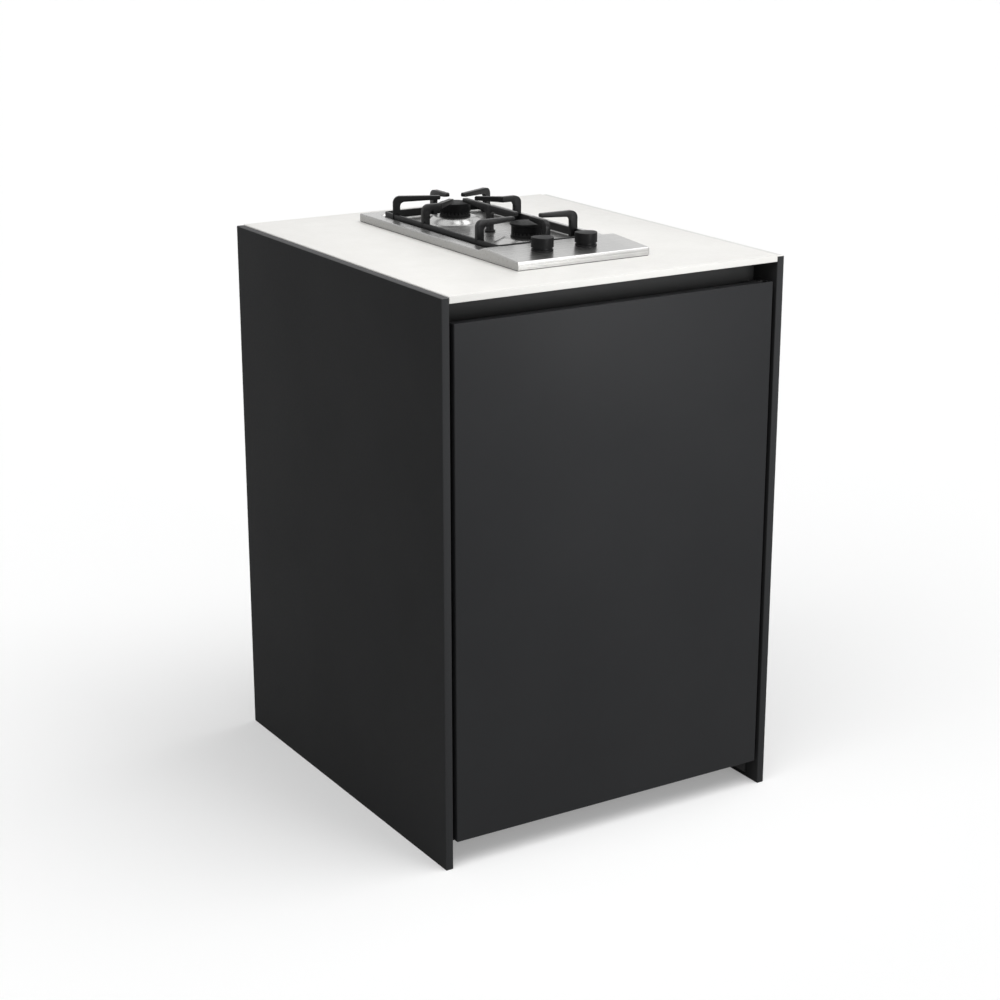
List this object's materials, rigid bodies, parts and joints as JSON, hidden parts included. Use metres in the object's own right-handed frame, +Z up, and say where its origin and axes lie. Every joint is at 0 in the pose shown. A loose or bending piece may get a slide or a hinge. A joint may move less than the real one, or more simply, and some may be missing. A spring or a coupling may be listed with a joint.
{
  "type": "outdoor kitchen side burner unit",
  "caption": "Free-standing dark panelled cabinet with a pale worktop, a set-in domino gas hob with a lift-off pan support, push-and-turn knobs and a full-height door.",
  "frame": {"origin": "on the floor, at the middle of the cabinet's footprint", "axes": "+Z up, +X to the right seen from the door side, the door faces -Y"},
  "size_m": [0.632, 0.7, 0.971],
  "materials": {
    "graphite_laminate": "matt, fine-grained dark grey board",
    "graphite_lacquer": "satin dark grey lacquer",
    "white_stone": "satin off-white slab with faint mottling",
    "brushed_steel": "brushed along the hob",
    "galvanised_steel": "dull zinc-coated sheet",
    "black_cast_iron": "matt enamelled, finely pebbled",
    "black_enamel": "satin vitreous enamel",
    "burner_aluminium": "dark sand-cast",
    "plain_aluminium": "mill-finish extrusion and tube",
    "brass": "machined",
    "black_plastic": "fine-grained moulding",
    "black_painted_steel": "powder coated",
    "rubber": "matt",
    "electrode_ceramic": "glazed white"
  },
  "bodies": {
    "cabinet": {"side_panel_left": "graphite_laminate", "side_panel_right": "graphite_laminate", "rear_rail": "graphite_laminate", "back_panel": "graphite_laminate", "bottom_panel": "graphite_laminate", "front_rail": "graphite_lacquer", "worktop": "white_stone", "hob_tray": "brushed_steel", "cabinet_screws": "brushed_steel", "hob_clamp_screws": "brushed_steel", "hob_under_box": "galvanised_steel", "hob_clamps": "galvanised_steel", "flame_sensor_rear": "galvanised_steel", "flame_sensor_front": "galvanised_steel", "centre_pan_bar": "black_cast_iron", "burner_cap_rear": "black_enamel", "burner_cap_front": "black_enamel", "flame_spreader_rear": "burner_aluminium", "flame_spreader_front": "burner_aluminium", "burner_cup_rear": "burner_aluminium", "burner_cup_front": "burner_aluminium", "feed_pipe_rear": "plain_aluminium", "feed_pipe_front": "plain_aluminium", "gas_manifold": "plain_aluminium", "top_angle_left": "plain_aluminium", "top_angle_right": "plain_aluminium", "rear_angle_left": "plain_aluminium", "rear_angle_right": "plain_aluminium", "injector_rear": "brass", "injector_front": "brass", "tap_body_left": "brass", "tap_body_right": "brass", "gas_inlet_elbow": "brass", "knob_bezel_left": "black_plastic", "knob_bezel_right": "black_plastic", "catch_body": "black_plastic", "pivot_bracket_top": "black_painted_steel", "pivot_bracket_bottom": "black_painted_steel", "floor_angle_left": "black_painted_steel", "floor_angle_right": "black_painted_steel", "hob_seal": "rubber", "hose_grommet": "rubber", "igniter_rear": "electrode_ceramic", "igniter_front": "electrode_ceramic"},
    "door": {"door_panel": "graphite_lacquer", "pivot_bush_top": "black_plastic", "pivot_bush_bottom": "black_plastic", "strike_plate": "brushed_steel"},
    "tap_left": {"tap_plug_left": "brass"},
    "tap_right": {"tap_plug_right": "brass"},
    "knob_left": {"knob_left": "black_plastic", "spindle_left": "brass"},
    "knob_right": {"knob_right": "black_plastic", "spindle_right": "brass"},
    "pan_support": {"pan_support": "black_cast_iron", "pan_fingers": "black_cast_iron", "pan_support_feet": "rubber"}
  },
  "joints": [
    {"name": "door_swing", "type": "hinge", "parent": "cabinet", "child": "door", "pos_m": [0.2805, -0.341, 0.461], "axis": [0, 0, 1], "range_deg": [0, 95]},
    {"name": "knob_left_turn", "type": "hinge", "parent": "cabinet", "child": "tap_left", "pos_m": [-0.044, -0.196, 0.9], "axis": [0, 0, 1], "range_deg": [0, 210]},
    {"name": "knob_left_push", "type": "slide", "parent": "tap_left", "child": "knob_left", "axis": [0, 0, -1], "range_m": [0, 0.0025], "stiffness_N_per_m": 800, "springref_m": -0.004},
    {"name": "knob_right_turn", "type": "hinge", "parent": "cabinet", "child": "tap_right", "pos_m": [0.038, -0.196, 0.9], "axis": [0, 0, 1], "range_deg": [0, 210]},
    {"name": "knob_right_push", "type": "slide", "parent": "tap_right", "child": "knob_right", "axis": [0, 0, -1], "range_m": [0, 0.0025], "stiffness_N_per_m": 800, "springref_m": -0.004},
    {"name": "pan_support_lift", "type": "slide", "parent": "cabinet", "child": "pan_support", "axis": [0, 0, 1], "range_m": [0, 0.12]}
  ]
}
